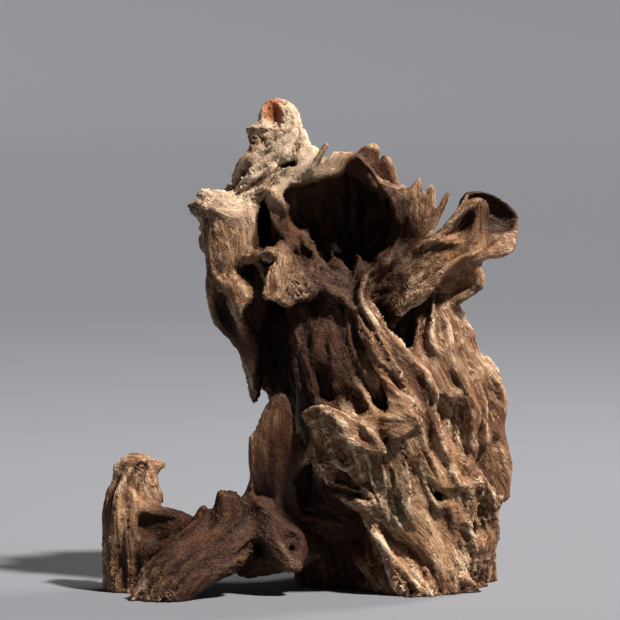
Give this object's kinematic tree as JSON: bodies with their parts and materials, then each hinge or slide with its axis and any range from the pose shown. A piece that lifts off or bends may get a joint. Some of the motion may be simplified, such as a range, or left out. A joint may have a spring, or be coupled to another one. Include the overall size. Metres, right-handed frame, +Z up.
{
  "type": "driftwood piece",
  "caption": "Free-standing piece of weathered dead root wood: an upright gnarled stump with a hollowed bowl at its top, a raised arm on one side and a low root on the other.",
  "frame": {"origin": "middle of the bounding box, at the surface the piece stands on", "axes": "+Z up the piece, along its longest extent; +Y into the depth, along its shortest extent; the bowl opens towards -Y; +X to the right as seen from the open side"},
  "size_m": [0.183, 0.11, 0.216],
  "materials": {
    "wood": "dry weathered grain, worn smooth on the crests"
  },
  "bodies": {
    "root": {"driftwood": "wood"}
  },
  "joints": []
}
